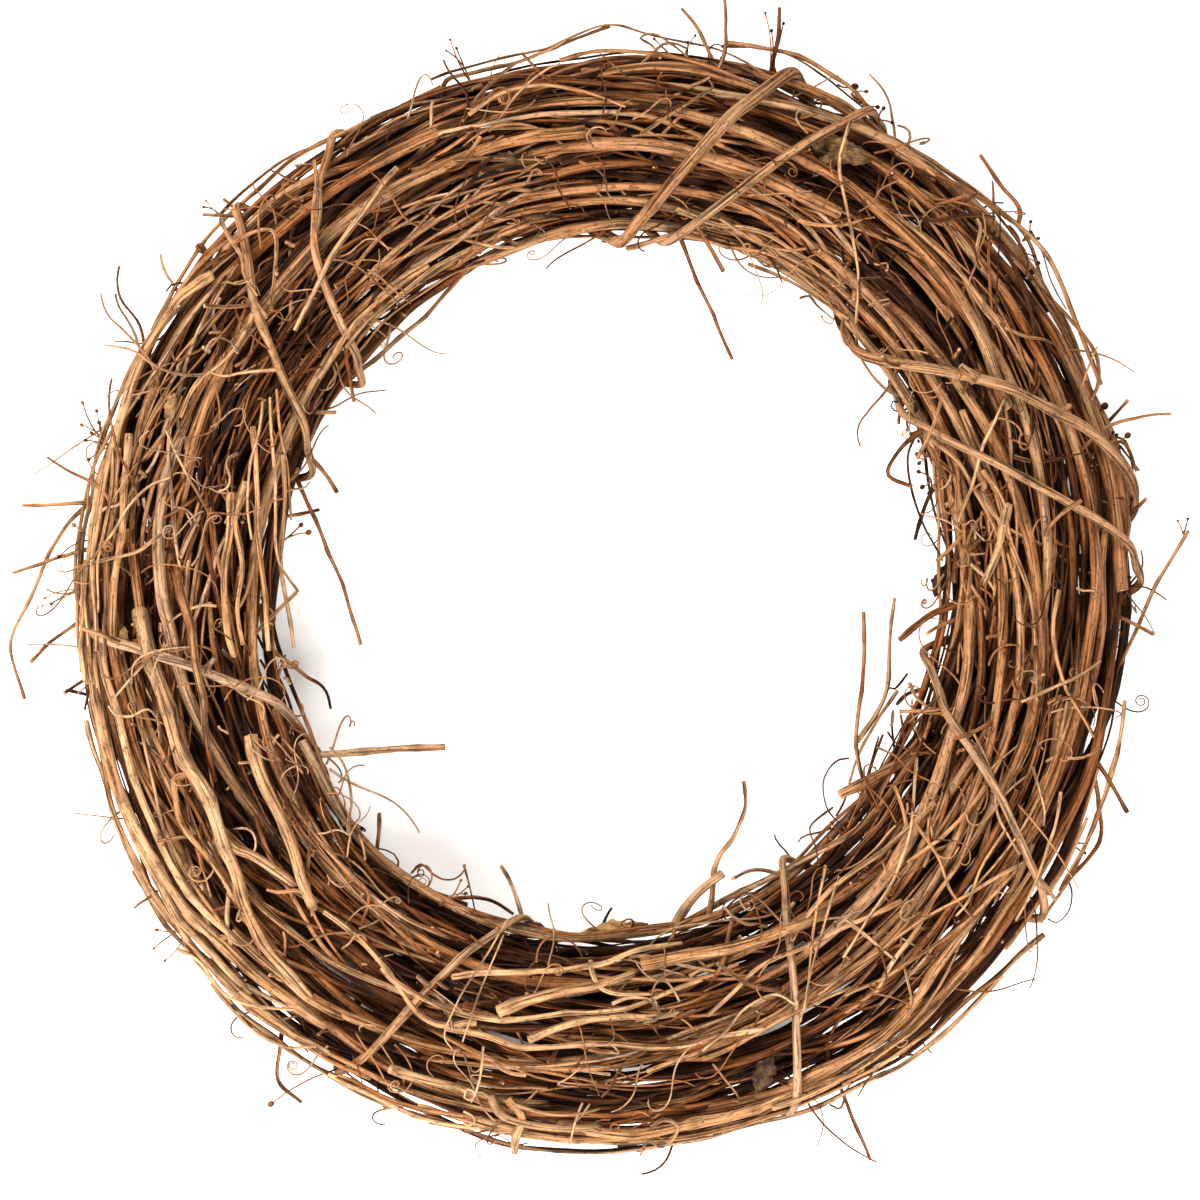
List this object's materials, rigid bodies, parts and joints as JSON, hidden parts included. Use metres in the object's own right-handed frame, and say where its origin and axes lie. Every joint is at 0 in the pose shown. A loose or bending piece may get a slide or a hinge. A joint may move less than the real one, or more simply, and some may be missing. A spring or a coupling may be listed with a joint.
{
  "type": "grapevine wreath",
  "caption": "Round wreath of dry grapevine: canes wound into a thick loose ring, lashed by binding vines, with wild side shoots and tendrils; lies flat on its back",
  "frame": {"origin": "on the resting plane, under the middle of the wreath's bounding box", "axes": "+Z out of the wreath's face, along the axis of its hole; +Y to the top of the wreath as it hangs in the picture; +X to its right"},
  "size_m": [0.4953, 0.484, 0.0969],
  "materials": {
    "cane": "dry bark, matt, brown to grey tan",
    "thick_cane": "dry bark, matt, warm orange tan",
    "binding_vine": "dry bark, matt, greyish tan"
  },
  "bodies": {
    "root": {"binding_vine_01": "binding_vine", "binding_vine_02": "binding_vine", "binding_vine_03": "binding_vine", "binding_vine_04": "binding_vine", "binding_vine_05": "binding_vine", "binding_vine_06": "binding_vine", "binding_vine_07": "binding_vine", "binding_vine_08": "binding_vine", "binding_vine_09": "binding_vine", "binding_vine_10": "binding_vine", "cane_01": "cane", "cane_02": "cane", "cane_03": "cane", "cane_04": "cane", "cane_05": "cane", "cane_06": "cane", "cane_07": "cane", "cane_08": "cane", "cane_09": "cane", "cane_10": "cane", "cane_11": "cane", "cane_12": "cane", "cane_13": "cane", "cane_14": "cane", "cane_15": "cane", "cane_16": "cane", "cane_17": "cane", "cane_18": "cane", "cane_19": "cane", "cane_20": "cane", "cane_21": "cane", "cane_22": "cane", "cane_23": "cane", "cane_24": "cane", "cane_25": "cane", "face_cane_1": "thick_cane", "face_cane_2": "thick_cane", "face_cane_3": "thick_cane", "face_cane_4": "thick_cane", "face_cane_5": "thick_cane", "face_cane_6": "thick_cane"}
  },
  "joints": []
}
